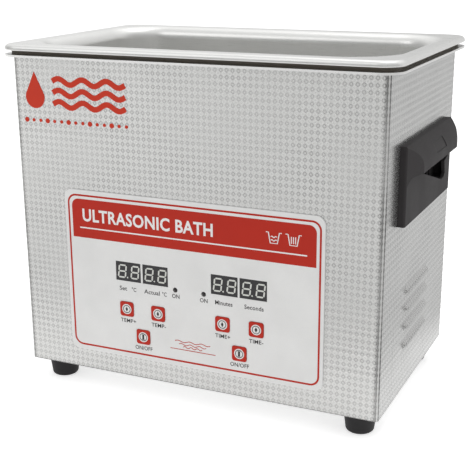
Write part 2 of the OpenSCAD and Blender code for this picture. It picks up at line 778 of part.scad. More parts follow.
// Drawer with a finger lip and a trough for the fuse
module fuse_drawer() color("#26262a") difference() {
    block([inlet_at[0] - drawer_w / 2 + 0.3, inlet_face - drawer_depth, drawer_at - drawer_h / 2 + 0.3],
        [inlet_at[0] + drawer_w / 2 - 0.3, inlet_face + 0.4, drawer_at + drawer_h / 2 - 0.3]);
    block([inlet_at[0] - 10.2, inlet_face - 12, drawer_at - 2], [inlet_at[0] + 10.2, inlet_face - 6.4, drawer_at + 6]);
    block([inlet_at[0] - 3, inlet_face - 1, drawer_at - 6], [inlet_at[0] + 3, inlet_face + 2, drawer_at - 2]);
}

// Cartridge fuse, 5 by 20 mm
module fuse_link() color("#d9dadb") translate([inlet_at[0] - 10, inlet_face - 9.2, drawer_at + 0.5])
    rotate([0, 90, 0]) {
        cylinder(h = 5, r = 2.5);
        translate([0, 0, 15]) cylinder(h = 5, r = 2.5);
        translate([0, 0, 5]) cylinder(h = 10, r = 2.3);
    }

module switch_body() color("#202023") difference() {
    block([inlet_at[0] - switch_w / 2, inlet_face - 17, switch_at - switch_h / 2],
        [inlet_at[0] + switch_w / 2, inlet_face, switch_at + switch_h / 2]);
    block([inlet_at[0] - 8.3, rocker_y - 8, switch_at - rocker_w / 2 - 0.3],
        [inlet_at[0] + 8.3, inlet_face + cut, switch_at + rocker_w / 2 + 0.3]);
    translate([inlet_at[0], rocker_y, switch_at - 5.8]) cylinder(h = 11.6, r = axle_r + slip);
}

// Rocker leaning to its off side, with the two stub axles it turns on
module power_rocker() color("#c4241f") translate([inlet_at[0], rocker_y, switch_at]) {
    rotate([0, 0, -rocker_lean]) translate([0, 0, -rocker_w / 2]) linear_extrude(rocker_w)
        polygon([[-rocker_l / 2, -1.5], [-rocker_l / 2, 3], [0, 1.6], [rocker_l / 2, 3],
            [rocker_l / 2, -1.5], [2, -4.5], [-2, -4.5]]);
    translate([0, 0, -5.6]) cylinder(h = 11.2, r = axle_r);
}

// ---------- handles ----------

// End view of the arched brow: its lowest point is level with the nose, and it cuts the flat top
module brow_end(inset) {
    translate([nose_x - brow_r, handle_top - brow_h]) circle(brow_r - inset, $fn = 96);
}

// End view of the whole handle: flat top, arched brow and upright nose
module hood_end() {
    translate([half_w, handle_floor]) square([hood_out, handle_h - brow_h]);
    intersection() {
        translate([half_w, handle_top - brow_h - cut]) square([hood_out, brow_h + cut]);
        brow_end(0);
    }
}

// Shallow slanting panel sunk into the brow
module brow_panel() {
    difference() {
        rightwards(half_w, 2 * hood_out)
            polygon([[1.5, 169.8], [27.8, 169.8], [20.8, 177.6], [-4.4, 177.6]]);
        translate([0, big / 2, 0]) rotate([90, 0, 0]) linear_extrude(big) brow_end(panel_sink);
    }
}

// Plan of the face plate block, its outer corners rounded
module face_plan() {
    translate([half_w, handle_y]) square([handle_t - face_r, handle_l]);
    translate([half_w, handle_y + face_r]) square([handle_t, handle_l - 2 * face_r]);
    for (y = [face_r, handle_l - face_r])
        translate([face_x - face_r, handle_y + y]) circle(face_r);
}

// Plan of the hood: a slanting cheek runs out to the nose
module hood_plan() {
    polygon([[half_w, handle_y + face_r], [face_x, handle_y + face_r], [nose_x, handle_y + cheek_l],
        [nose_x, handle_y + handle_l - 1.5], [nose_x - 1.5, handle_y + handle_l], [half_w, handle_y + handle_l]]);
}

// Side view of the hood, with the round corner where the cheek runs down into the face plate
module hood_side() {
    translate([handle_y, nose_z]) square([handle_l, handle_top - nose_z]);
    difference() {
        translate([handle_y, nose_z - cheek_r]) square(cheek_r);
        translate([handle_y + cheek_r, nose_z - cheek_r]) circle(cheek_r);
    }
}

// Finger opening in the face plate, seen from the side: shallow at the front, deep at the rear
module mouth_side() {
    polygon([[-30, nose_z], [-30, 161], [-18, 160.6], [36, 145], [43, 145.2], [46, 147.5], [44.4, 152.7],
        [43.6, 156.4], [50.5, 158.2], [54.5, 160], [54.5, nose_z]]);
}

module handle_shell() intersection() {
    translate([0, big / 2, 0]) rotate([90, 0, 0]) linear_extrude(big) hood_end();
    union() {
        translate([0, 0, handle_floor]) linear_extrude(handle_h) face_plan();
        intersection() {
            translate([0, 0, handle_floor]) linear_extrude(handle_h) hood_plan();
            rightwards(half_w, hood_out) hood_side();
        }
    }
}

module handle() difference() {
    union() {
        handle_shell();
        block([tub_x, tub_y[0], tub_z[0]], [half_w, tub_y[1], tub_z[1]]);
    }
    difference() {
        block([tub_x + tub_t, tub_y[0] + tub_t, tub_z[0] + tub_t + 1], [face_x - plate_t, tub_y[1] - tub_t, tub_z[1] - tub_t]);
        for (y = handle_ribs)
            block([tub_x, y, tub_z[0]], [rib_x, y + 1.4, 160]);
    }
    rightwards(face_x - plate_t - cut, handle_t) mouth_side();
    brow_panel();
    for (f = handle_fix)
        rightwards(half_w - cut, handle_bore + cut) translate(f) circle(screw4_r + slip);
}

module handle_right() color("#474547") handle();
module handle_left() color("#474547") rotate([0, 0, 180]) handle();

// Pan-head screws from inside the housing into both handles
module handle_screws() color("silver") for (turn = [0, 180], f = handle_fix)
    rotate([0, 0, turn]) translate([in_w, f[0], f[1]]) rotate([0, 90, 0]) {
        cylinder(h = handle_screw_l, r = screw4_r);
        translate([0, 0, -2.2]) cylinder(h = 2.2, r = 3.7);
    }

// ---------- feet and fasteners ----------

// Tapered rubber foot with a rounded tread and a counterbored screw hole
module foot(sx, sy) color("#161617") translate([sx * foot_at[0], sy * foot_at[1], 0]) rotate_extrude() difference() {
    union() {
        polygon([[screw4_r + 0.2, 0], [foot_low_r - foot_edge, 0], [foot_low_r, foot_edge], [foot_r, foot_h],
            [screw4_r + 0.2, foot_h]]);
        translate([foot_low_r - foot_edge, foot_edge]) circle(foot_edge);
    }
    translate([0, -cut]) square([foot_bore, foot_seat + cut]);
}

module foot_screws() color("silver") for (x = [-1, 1], y = [-1, 1])
    translate([x * foot_at[0], y * foot_at[1], 0]) {
        translate([0, 0, foot_seat - 3]) cylinder(h = 3, r = 4);
        translate([0, 0, foot_seat]) cylinder(h = 12, r = screw4_r);
        translate([0, 0, foot_h + sheet]) cylinder(h = 3.2, r = 4, $fn = 6);
    }

module panel_screws() color("silver") for (s = [-1, 1], z = panel_fix_z)
    rear_screw(s * panel_fix_x, z, half_d, screw3_r + 0.3, 7, 3.3, 1.9);

// Threaded stud with a nut that bonds the housing to earth
module earth_stud() color("goldenrod") translate([-110, 40, foot_h + sheet]) {
    cylinder(h = 14, r = 2);
    translate([0, 0, 1.5]) cylinder(h = 3.2, r = 4, $fn = 6);
    cylinder(h = 0.8, r = 5);
}

// ---------- wiring ----------

module internal_leads() color("#b02a24") for (lead = lead_routes)
    tube(smooth(lead[0], 3), lead[1], lead[1], lead[2], 8);

module ribbon_cable() color("#8f9296") tube(smooth(ribbon_route, 2), 9, 0.6, [0, 1, 3], 8);

housing_wrap();
rear_panel();
bottom_plate();
top_frame();
tank();
rim_gasket();
control_overlay();
display(0);  // display_set_temp
display(1);  // display_actual_temp
display(2);  // display_minutes
display(3);  // display_seconds
led(0);  // led_heat
led(1);  // led_sonic
control_board();
tact_switches();
key(0);  // key_temp_up
key(1);  // key_temp_down
key(2);  // key_heat
key(3);  // key_time_up
key(4);  // key_time_down
key(5);  // key_sonic
board_standoffs();
board_screws();
transducer_horns();
piezo_rings();
electrodes();
back_masses();
transducer_bolts();
heater_pads();
temp_sensor();
thermal_cutout();
generator_board();
heatsink();
power_transistors();
transformer();
inductor();
capacitors();
relay();
fan_frame();
fan_rotor();
fan_guard();
fan_screws();
inlet_socket();
inlet_pins();
fuse_drawer();
fuse_link();
switch_body();
power_rocker();
handle_right();
handle_left();
handle_screws();
foot(-1, -1);  // foot_front_left
foot(1, -1);  // foot_front_right
foot(-1, 1);  // foot_rear_left
foot(1, 1);  // foot_rear_right
foot_screws();
panel_screws();
earth_stud();
internal_leads();
ribbon_cable();
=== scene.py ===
import json
import math

import bmesh
import bpy
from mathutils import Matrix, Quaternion, Vector


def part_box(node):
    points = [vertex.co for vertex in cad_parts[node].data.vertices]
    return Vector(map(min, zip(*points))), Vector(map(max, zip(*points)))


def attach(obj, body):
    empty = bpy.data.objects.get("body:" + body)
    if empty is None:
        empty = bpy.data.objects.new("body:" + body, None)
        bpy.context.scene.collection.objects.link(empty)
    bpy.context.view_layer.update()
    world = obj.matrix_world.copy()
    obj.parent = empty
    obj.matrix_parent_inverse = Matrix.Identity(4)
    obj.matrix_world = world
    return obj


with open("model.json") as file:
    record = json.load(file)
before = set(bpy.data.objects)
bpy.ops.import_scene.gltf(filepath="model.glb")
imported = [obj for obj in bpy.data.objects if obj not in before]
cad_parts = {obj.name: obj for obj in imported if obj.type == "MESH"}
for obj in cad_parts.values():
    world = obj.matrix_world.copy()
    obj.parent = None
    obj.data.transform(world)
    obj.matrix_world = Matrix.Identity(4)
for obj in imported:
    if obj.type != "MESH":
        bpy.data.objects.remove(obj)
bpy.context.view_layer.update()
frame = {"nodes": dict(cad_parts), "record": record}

# Lengths are written in millimetres and turned into metres by MM.
MM = 0.001
INK = 0.05              # thickness of a printed layer


def box_mm(node):
    """Lowest and highest corners of a CAD node, in millimetres."""
    return [[c / MM for c in corner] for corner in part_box(node)]


def middle(node):
    """x and z of the centre of a CAD node."""
    low, high = box_mm(node)
    return (low[0] + high[0]) / 2, (low[2] + high[2]) / 2


PANEL_GAP = 0.2         # the rear panel stops this far short of the side walls
HALF_W = box_mm("rear_panel")[1][0] + PANEL_GAP
REAR = box_mm("rear_panel")[1][1]
OVERLAY_FACE = box_mm("control_overlay")[0][1]
FRONT = box_mm("control_overlay")[1][1]
HOUSING_LOW = box_mm("housing_wrap")[0][2]
HOUSING_TOP = box_mm("housing_wrap")[1][2]
KEY_FACE = box_mm("key_heat")[0][1]
DISPLAY_FACE = box_mm("display_minutes")[0][1]
PANEL = middle("control_overlay")

RED = (0.49, 0.023, 0.010)
WHITE = (0.80, 0.80, 0.79)
BLACK = (0.022, 0.021, 0.022)
DIGIT_GREY = (0.70, 0.71, 0.67)


# ---------- nodes ----------

def new_material(name, metallic, rough):
    """A material and its shader."""
    mat = bpy.data.materials.new(name)
    mat.use_nodes = True
    shader = mat.node_tree.nodes["Principled BSDF"]
    shader.inputs["Metallic"].default_value = metallic
    shader.inputs["Roughness"].default_value = rough
    return mat, shader


def add_node(mat, kind, values=None, **settings):
    """A new node with its settings, and its inputs set or linked by name or number."""
    made = mat.node_tree.nodes.new(kind)
    for key, value in settings.items():
        setattr(made, key, value)
    for key, value in (values or {}).items():
        if isinstance(value, bpy.types.NodeSocket):
            mat.node_tree.links.new(value, made.inputs[key])
        else:
            made.inputs[key].default_value = value
    return made


def link(mat, source, target):
    mat.node_tree.links.new(source, target)


def math_node(mat, operation, a, b=0.0):
    """Result of an operation on values or sockets."""
    return add_node(mat, "ShaderNodeMath", {0: a, 1: b}, operation=operation).outputs[0]


def local_point(mat, stretch=(1, 1, 1)):
    """Object coordinates in metres, stretched along each axis."""
    where = add_node(mat, "ShaderNodeTexCoord").outputs["Object"]
    scaled = add_node(mat, "ShaderNodeMapping", {"Vector": where, "Scale": stretch})
    return scaled.outputs["Vector"]


def noise(mat, size, stretch=(1, 1, 1), detail=3.0):
    """Noise whose features are about size millimetres wide."""
    made = add_node(mat, "ShaderNodeTexNoise",
                    {"Vector": local_point(mat, stretch), "Scale": 1 / (size * MM), "Detail": detail})
    return made.outputs[0]


def shade(colour, factor):
    """The colour made lighter or darker, with an alpha of 1."""
    return tuple(min(1.0, c * factor) for c in colour[:3]) + (1.0,)


def mix_colour(mat, amount, a, b):
    """Colour a at an amount of 0 and b at 1."""
    made = add_node(mat, "ShaderNodeMix", data_type="RGBA", clamp_factor=True)
    for number, value in ((0, amount), (6, a), (7, b)):
        if isinstance(value, bpy.types.NodeSocket):
            link(mat, value, made.inputs[number])
        else:
            made.inputs[number].default_value = value
    return made.outputs[2]


def vary(mat, amount, low, high):
    """Spreads a 0.3 to 0.7 noise over low to high."""
    made = add_node(mat, "ShaderNodeMapRange",
                    {"Value": amount, "From Min": 0.3, "From Max": 0.7, "To Min": low, "To Max": high})
    return made.outputs[0]


def smooth_ramp(mat, value, start, end):
    """0 at start and 1 at end, with soft ends."""
    made = add_node(mat, "ShaderNodeMapRange", {"Value": value, "From Min": start, "From Max": end},
                    interpolation_type="SMOOTHSTEP")
    return made.outputs[0]


def set_bump(mat, shader, height, depth):
    """Bump of depth millimetres from a 0 to 1 height."""
    made = add_node(mat, "ShaderNodeBump", {"Height": height, "Distance": depth * MM, "Strength": 1.0})
    link(mat, made.outputs["Normal"], shader.inputs["Normal"])


# ---------- materials ----------

def brushed(name, colour, rough, along="X", metallic=1.0):
    """Metal with fine brushing lines along X or Z and soft patches of different polish."""
    mat, shader = new_material(name, metallic, rough)
    stretch = {"X": (0.012, 1, 1), "Z": (1, 1, 0.012)}[along]
    hairs = noise(mat, 0.25, stretch, 4.0)
    patches = noise(mat, 35)
    dark, light = shade(colour, 0.95), shade(colour, 1.05)
    tone = mix_colour(mat, vary(mat, hairs, 0, 1), dark, light)
    soft = mix_colour(mat, vary(mat, patches, 0, 0.35), tone, dark)
    link(mat, soft, shader.inputs["Base Color"])
    link(mat, vary(mat, hairs, rough * 0.82, rough * 1.18), shader.inputs["Roughness"])
    set_bump(mat, shader, hairs, 0.006)
    return mat


def cast(name, colour, rough, grain=0.8, metallic=1.0):
    """Metal or ceramic with an even, unbrushed grain."""
    mat, shader = new_material(name, metallic, rough)
    grains = noise(mat, grain, detail=4.0)
    tone = mix_colour(mat, vary(mat, grains, 0, 1), shade(colour, 0.94), shade(colour, 1.06))
    link(mat, tone, shader.inputs["Base Color"])
    link(mat, vary(mat, noise(mat, grain * 12), rough * 0.8, rough * 1.2), shader.inputs["Roughness"])
    set_bump(mat, shader, grains, 0.02)
    return mat


def moulded(name, colour, rough, grain=0.6, depth=0.015, coat=0.0, gloss=0.5):
    """Plastic or rubber: fine spark-eroded grain, with soft patches where hands and dust change it."""
    mat, shader = new_material(name, 0.0, rough)
    grains = noise(mat, grain, detail=2.0)
    patches = noise(mat, 28)
    base = mix_colour(mat, vary(mat, patches, 0, 1), shade(colour, 0.92), shade(colour, 1.08))
    tone = mix_colour(mat, vary(mat, grains, 0, 0.25), base, shade(colour, 1.5))
    link(mat, tone, shader.inputs["Base Color"])
    link(mat, vary(mat, patches, rough * 0.88, rough * 1.12), shader.inputs["Roughness"])
    shader.inputs["Specular IOR Level"].default_value = gloss
    shader.inputs["Coat Weight"].default_value = coat
    shader.inputs["Coat Roughness"].default_value = 0.12
    set_bump(mat, shader, grains, depth)
    return mat


HANDLE_EDGE = 0.6       # radius, in millimetres, that the bevel shading gives an edge


def handle_finish():
    """Dull grained plastic whose sharp moulded edges catch the light as if they were rounded."""
    mat = moulded("handle_plastic", (0.046, 0.043, 0.044), 0.52, grain=0.7, depth=0.03, gloss=0.05)
    round_edge = add_node(mat, "ShaderNodeBevel", {"Radius": HANDLE_EDGE * MM}, samples=4)
    link(mat, round_edge.outputs[0], mat.node_tree.nodes["Bump"].inputs["Normal"])
    return mat


def printed(name, colour, rough=0.42, gloss=0.2):
    """Screen-printed ink: even tone with a faint mesh grain."""
    mat, shader = new_material(name, 0.0, rough)
    shader.inputs["Specular IOR Level"].default_value = gloss
    weave = noise(mat, 0.35, detail=1.0)
    cloud = noise(mat, 22)
    tone = mix_colour(mat, vary(mat, cloud, 0, 1), shade(colour, 0.965), shade(colour, 1.035))
    full = mix_colour(mat, vary(mat, weave, 0, 0.18), tone, shade(colour, 0.88))
    link(mat, full, shader.inputs["Base Color"])
    link(mat, vary(mat, cloud, rough * 0.92, rough * 1.08), shader.inputs["Roughness"])
    set_bump(mat, shader, weave, 0.004)
    return mat


def laminate(name, colour):
    """Circuit board: solder mask with the outline of copper tracks under it."""
    mat, shader = new_material(name, 0.0, 0.35)
    values = {"Vector": local_point(mat), "Scale": 130.0, "Mortar Size": 0.05,
              "Color1": shade(colour, 0.8), "Color2": shade(colour, 1.1), "Mortar": shade(colour, 2.2)}
    tracks = add_node(mat, "ShaderNodeTexBrick", values)
    glaze = mix_colour(mat, vary(mat, noise(mat, 6), 0, 0.5), tracks.outputs["Color"], shade(colour, 0.7))
    link(mat, glaze, shader.inputs["Base Color"])
    link(mat, vary(mat, noise(mat, 3), 0.28, 0.45), shader.inputs["Roughness"])
    set_bump(mat, shader, tracks.outputs["Fac"], 0.03)
    return mat


WAVE_PERIOD = math.pi / 10      # the wave texture's own pitch at a scale of 1


def ridges(mat, pitch, direction, distortion=0.0):
    """Height of ridges that lie about pitch millimetres apart."""
    values = {"Vector": local_point(mat), "Scale": WAVE_PERIOD / (pitch * MM), "Distortion": distortion}
    made = add_node(mat, "ShaderNodeTexWave", values, wave_type="BANDS", bands_direction=direction)
    return made.outputs["Fac"]


def wound(name, colour):
    """Copper winding: bands of wire side by side."""
    mat, shader = new_material(name, 0.85, 0.3)
    turns = ridges(mat, 1.776, "DIAGONAL", distortion=0.4)
    # the grooves between turns are painted darker: painted shade
    link(mat, mix_colour(mat, turns, shade(colour, 0.45), shade(colour, 1.15)), shader.inputs["Base Color"])
    link(mat, vary(mat, noise(mat, 2), 0.25, 0.42), shader.inputs["Roughness"])
    set_bump(mat, shader, turns, 0.15)
    return mat


def ribbed_lead(name, colour, pitch):
    """Insulation with the faint ridges of the wires in it."""
    mat, shader = new_material(name, 0.0, 0.5)
    wires = ridges(mat, pitch, "X")
    # the grooves between wires are painted darker: painted shade
    tone = mix_colour(mat, wires, shade(colour, 0.75), shade(colour, 1.1))
    worn = mix_colour(mat, vary(mat, noise(mat, 5), 0, 0.4), tone, shade(colour, 0.8))
    link(mat, worn, shader.inputs["Base Color"])
    set_bump(mat, shader, wires, 0.08)
    return mat


STEEL = (0.59, 0.59, 0.58)
METAL_SHARE = 0.84      # the rest of the sheet's light is plain diffuse
PAINTED_SIDE_SHADE = 0.18       # painted shade that makes the sides darker than the front
PAINTED_FOLD_SHADE = 4.4        # painted shade on the folds and along the lower edge, darker still, as a multiple of the sides
SIDE_RING_SHADE_GAIN = 0.6     # the painted shade of the rings is stronger by this share on the sides
PAINTED_RING_TONE = 0.36        # tone of a ring of painted shade, as a share of the sheet's


def embossed(name, colour):
    """Satin sheet pressed with a lattice of dimples: a ring of painted shade round each, stronger in some
    patches, and a lighter ring of painted highlight round each hollow of the relief.

    The mesh's lattice attribute gives the place on the lattice, and the share of painted shade: none on the
    front, full on the sides, more on the folds and along the lower edge.
    """
    mat, shader = new_material(name, METAL_SHARE, 0.36)
    lattice = add_node(mat, "ShaderNodeAttribute", attribute_name="lattice")
    parts = add_node(mat, "ShaderNodeSeparateXYZ", {"Vector": lattice.outputs["Vector"]})
    waves = []
    for axis in ("X", "Y"):
        turn = math_node(mat, "MULTIPLY", parts.outputs[axis], 2 * math.pi)
        waves.append(math_node(mat, "COSINE", turn))
    height = math_node(mat, "MULTIPLY", math_node(mat, "ADD", waves[0], waves[1]), 0.5)

    def band(level, width):
        """1 where the height is at the level, falling to 0 at width from it."""
        away = math_node(mat, "ABSOLUTE", math_node(mat, "SUBTRACT", height, level))
        made = add_node(mat, "ShaderNodeMapRange",
                        {"Value": away, "From Min": 0.0, "From Max": width, "To Min": 1.0, "To Max": 0.0})
        return made.outputs[0]

    painted_shade = parts.outputs["Z"]
    patches = vary(mat, noise(mat, 38), 0.45, 1.0)
    side_ring_gain = math_node(mat, "ADD", math_node(mat, "MULTIPLY", painted_shade, SIDE_RING_SHADE_GAIN), 1.0)
    # painted shade: a dark ring round each dimple standing in for the shading of its steep slopes, stronger
    # in patches and on the sides
    ring = math_node(mat, "MULTIPLY", math_node(mat, "MULTIPLY", band(0.5, 0.45), patches), side_ring_gain)
    # painted highlight: a lighter ring round each hollow of the relief
    edge = math_node(mat, "MULTIPLY", band(-0.45, 0.3), 0.8)
    hairs = noise(mat, 0.5, detail=2.0)
    plain = mix_colour(mat, edge, shade(colour, 0.98), shade(colour, 1.25))
    tone = mix_colour(mat, ring, plain, shade(colour, PAINTED_RING_TONE))
    # painted shade: the sides darker than the front, and the folds and the lower edge darker still
    tone = mix_colour(mat, math_node(mat, "MULTIPLY", painted_shade, PAINTED_SIDE_SHADE), tone, (0, 0, 0, 1))
    clouded = mix_colour(mat, vary(mat, noise(mat, 60), 0, 0.5), tone, shade(colour, 0.92))
    lined = mix_colour(mat, vary(mat, hairs, 0, 0.3), clouded, shade(colour, 0.85))
    link(mat, lined, shader.inputs["Base Color"])
    link(mat, vary(mat, hairs, 0.20, 0.30), shader.inputs["Roughness"])
    set_bump(mat, shader, hairs, 0.006)
    return mat


FINISHES = {
    "embossed_steel": brushed("sheet_steel", STEEL, 0.4, "Z", metallic=METAL_SHARE),
    "plain_steel": brushed("plain_steel", (0.52, 0.52, 0.515), 0.36),
    "frame_steel": brushed("frame_steel", (0.74, 0.74, 0.73), 0.3),
    "tank_steel": brushed("tank_steel", (0.80, 0.80, 0.785), 0.32, metallic=0.80),
    "gasket_rubber": moulded("gasket_rubber", (0.135, 0.117, 0.094), 0.6),
    "overlay_film": printed("overlay_film", WHITE, 0.38),
    "display_plastic": moulded("display_plastic", (0.030, 0.029, 0.031), 0.32, coat=0.1, gloss=0.3),
    "lamp_plastic": moulded("lamp_plastic", (0.018, 0.015, 0.015), 0.25, coat=0.3, gloss=0.3),
    "key_plastic": printed("key_film", RED, 0.4),
    "board_laminate": laminate("board_laminate", (0.02, 0.16, 0.06)),
    "brass": cast("turned_brass", (0.72, 0.52, 0.22), 0.3),
    "contact_metal": cast("contact_metal", (0.70, 0.60, 0.42), 0.32),
    "screw_steel": cast("screw_steel", (0.62, 0.62, 0.61), 0.28, grain=0.5),
    "aluminium": brushed("aluminium", (0.70, 0.71, 0.73), 0.36, "Z"),
    "piezo_ceramic": cast("piezo_ceramic", (0.40, 0.36, 0.30), 0.55, metallic=0.2),
    "mass_steel": brushed("mass_steel", (0.42, 0.43, 0.45), 0.34),
    "bolt_steel": cast("bolt_steel", (0.06, 0.06, 0.065), 0.4),
    "heater_silicone": moulded("heater_silicone", (0.50, 0.12, 0.05), 0.55, grain=1.5, depth=0.08),
    "sensor_metal": cast("sensor_metal", (0.68, 0.67, 0.64), 0.35),
    "black_plastic": moulded("black_plastic", (0.026, 0.026, 0.028), 0.42),
    "ferrite": cast("ferrite", (0.05, 0.048, 0.045), 0.6, metallic=0.1),
    "copper_winding": wound("copper_winding", (0.72, 0.30, 0.12)),
    "capacitor_sleeve": moulded("capacitor_sleeve", (0.02, 0.045, 0.13), 0.3),
    "relay_plastic": moulded("relay_plastic", (0.03, 0.12, 0.40), 0.35),
    "guard_wire": cast("guard_wire", (0.66, 0.67, 0.68), 0.22, grain=0.6),
    "fuse_glass": cast("fuse_body", (0.70, 0.71, 0.72), 0.15, metallic=0.6),
    "rocker_plastic": moulded("rocker_plastic", (0.55, 0.02, 0.012), 0.3, coat=0.3),
    "handle_plastic": handle_finish(),
    "foot_rubber": moulded("foot_rubber", (0.012, 0.011, 0.012), 0.6, grain=1.0, depth=0.04, gloss=0.3),
    "lead_insulation": ribbed_lead("lead_insulation", (0.45, 0.03, 0.02), 2.17),
    "ribbon_insulation": ribbed_lead("ribbon_insulation", (0.30, 0.31, 0.33), 2.506),
}


def dress_frame():
    """Every CAD node gets the finish of its slot."""
    for part in frame["record"]["subparts"]:
        slots = frame["nodes"][part["node"]].data.materials
        slots.clear()
        slots.append(FINISHES[part["material_slot"]])


# ---------- meshes ----------

def make_piece(name, verts, faces, material, body):
    """A mesh piece, in metres, that rides on a body."""
    mesh = bpy.data.meshes.new(name)
    mesh.from_pydata(verts, [], faces)
    mesh.validate()
    mesh.materials.append(material)
    piece = bpy.data.objects.new(name, mesh)
    bpy.context.scene.collection.objects.link(piece)
    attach(piece, body)
    return piece


def body_of_curve(curve):
    """Welded verts and faces of a filled flat curve or text, 1 deep about zero."""
    draft = bpy.data.objects.new("draft", curve)
    bpy.context.scene.collection.objects.link(draft)
    deps = bpy.context.evaluated_depsgraph_get()
    mesh = bpy.data.meshes.new_from_object(draft.evaluated_get(deps))
    shape = bmesh.new()
    shape.from_mesh(mesh)
    bmesh.ops.remove_doubles(shape, verts=shape.verts, dist=1e-5)
    bmesh.ops.dissolve_degenerate(shape, edges=shape.edges, dist=1e-5)
    bmesh.ops.recalc_face_normals(shape, faces=shape.faces)
    shape.verts.index_update()
    verts = [v.co.copy() for v in shape.verts]
    faces = [[v.index for v in f.verts] for f in shape.faces]
    shape.free()
    bpy.data.objects.remove(draft)
    bpy.data.meshes.remove(mesh)
    bpy.data.curves.remove(curve)
    return verts, faces


def loops_body(loops):
    """Solid between closed loops of x and z; a loop inside another is a hole."""
    curve = bpy.data.curves.new("loops", "CURVE")
    curve.dimensions = "2D"
    curve.fill_mode = "BOTH"
    curve.extrude = 0.5
    for loop in loops:
        spline = curve.splines.new("POLY")
        spline.points.add(len(loop) - 1)
        for point, (x, z) in zip(spline.points, loop):
            point.co = (x, z, 0, 1)
        spline.use_cyclic_u = True
    return body_of_curve(curve)


def text_body(words, bold):
    """Solid lettering at size 1, its outlines moved outwards by bold."""
    curve = bpy.data.curves.new("words", "FONT")
    curve.body = words
    curve.size = 1.0
    curve.extrude = 0.5
    curve.offset = bold
    curve.space_character = 1.0 + 2 * bold
    curve.resolution_u = 3
    return body_of_curve(curve)


CAP_HEIGHT = max(v.y for v in text_body("H", 0.0)[0])


class Print:
    """Flat shapes of one colour on a face that looks to the front, placed about a centre."""

    def __init__(self, face, centre=(0, 0), depth=INK):
        self.face = face
        self.centre = centre
        self.depth = depth
        self.verts = []
        self.faces = []

    def add(self, body, scale=(1, 1), at=(0, 0)):
        verts, faces = body
        first = len(self.verts)
        for v in verts:
            y = self.face - self.depth * (v.z + 0.5)
            x = self.centre[0] + at[0] + scale[0] * v.x
            z = self.centre[1] + at[1] + scale[1] * v.y
            self.verts.append(Vector((x, y, z)) * MM)
        self.faces += [[first + i for i in face] for face in faces]

    def shapes(self, loops):
        self.add(loops_body(loops))

    def words(self, text, left, right, base, cap, bold):
        """Lettering that runs from left to right on a base line."""
        body = text_body(text, bold)
        low = min(v.x for v in body[0])
        wide = max(v.x for v in body[0]) - low
        across = (right - left) / wide
        self.add(body, (across, cap / CAP_HEIGHT), (left - low * across, base))

    def piece(self, name, material, body, slot):
        return make_piece(name, self.verts, self.faces, material, body)


def box_loop(x0, z0, x1, z1):
    """Rectangle between two corners."""
    return [(x0, z0), (x1, z0), (x1, z1), (x0, z1)]


def round_loop(x0, z0, x1, z1, radii, steps=8):
    """Rectangle with its own radius at each corner, from the lower left one round."""
    corners = ((x0, z0, 180), (x1, z0, 270), (x1, z1, 0), (x0, z1, 90))
    loop = []
    for (x, z, start), r in zip(corners, radii):
        cx = x + (r if x == x0 else -r)
        cz = z + (r if z == z0 else -r)
        if r == 0:
            loop.append((x, z))
            continue
        for i in range(steps + 1):
            a = math.radians(start + 90 * i / steps)
            loop.append((cx + r * math.cos(a), cz + r * math.sin(a)))
    return loop


def disc_loop(x, z, r, steps=32):
    """Circle about x and z."""
    return [(x + r * math.cos(2 * math.pi * i / steps), z + r * math.sin(2 * math.pi * i / steps))
            for i in range(steps)]


def ribbon_loop(points, width):
    """Outline of a line of one width through the points, with square ends."""
    left, right = [], []
    for i, (x, z) in enumerate(points):
        x0, z0 = points[max(i - 1, 0)]
        x1, z1 = points[min(i + 1, len(points) - 1)]
        run = math.hypot(x1 - x0, z1 - z0)
        nx = -(z1 - z0) / run * width / 2
        nz = (x1 - x0) / run * width / 2
        left.append((x + nx, z + nz))
        right.append((x - nx, z - nz))
    return left + right[::-1]


# ---------- embossed sheet ----------

PITCH_X = 3.9           # pitch of the dimples along the sheet
PITCH_Z = 4.2           # and upwards
RELIEF = 0.13           # rise and fall about the middle
SKIN_LIFT = 0.24        # middle of the relief above the sheet
SKIN_BACK = 0.02        # back of the relief above the sheet
EDGE_INSET = 0.1        # the relief stops this far from the sheet's upper and lower edges
REAR_INSET = 0.9        # and this far from its rear edges
FOLD_R = 1.6            # radius of the front upright folds
FOLD_START = HALF_W - FOLD_R                    # measured along the sheet from the middle of the front
FOLD_END = FOLD_START + FOLD_R * math.pi / 2
PAINTED_HEM_SHADOW = 1.0               # height of the band of painted shadow along the lower edge
LOUVRES = (83.0, 71.0, 58.4, 45.2)              # heights of the hoods' lower edges
LOUVRE_L = 55.0
LOUVRE_R = 4.0          # radius of a louvre's bulge
LOUVRE_SUNK = 2.0       # depth of the bulge's centre line in the wall
LOUVRE_MOUTH = 0.7      # height of the slot that stays open under a hood
HOOD_COLUMNS = (0.54, 1.2, 2.5, LOUVRE_R)       # grid lines this far in from a hood's ends
HOOD_ROWS = (0.7, 1.4, 2.1, 2.8, 3.2, 3.46)     # and this far above its lower edge
TUCKED = 2.0            # how far the relief runs in under a handle
TUCKED_PANEL = 4.0      # and under the overlay, whose corners are round


def lines_between(low, high, step, extra):
    """Grid lines on whole steps between two limits, with the limits and the extra lines."""
    found = [i * step for i in range(math.ceil(low / step), math.floor(high / step) + 1)]
    kept = [v for v in found if all(abs(v - e) > 0.2 for e in (low, high, *extra))]
    return sorted(kept + [low, high] + list(extra))


def fold_point(s, lift):
    """Point on the wrapped sheet, s millimetres from the middle of the front towards the right."""
    side = 1 if s >= 0 else -1
    run = abs(s)
    if run <= FOLD_START:
        return s, FRONT - lift
    if run >= FOLD_END:
        return side * (HALF_W + lift), FRONT + FOLD_R + run - FOLD_END
    a = (run - FOLD_START) / FOLD_R
    r = FOLD_R + lift
    return side * (FOLD_START + r * math.sin(a)), FRONT + FOLD_R - r * math.cos(a)


def s_of_y(y):
    """Distance along the sheet at which a side wall has this y."""
    return FOLD_END + y - FRONT - FOLD_R


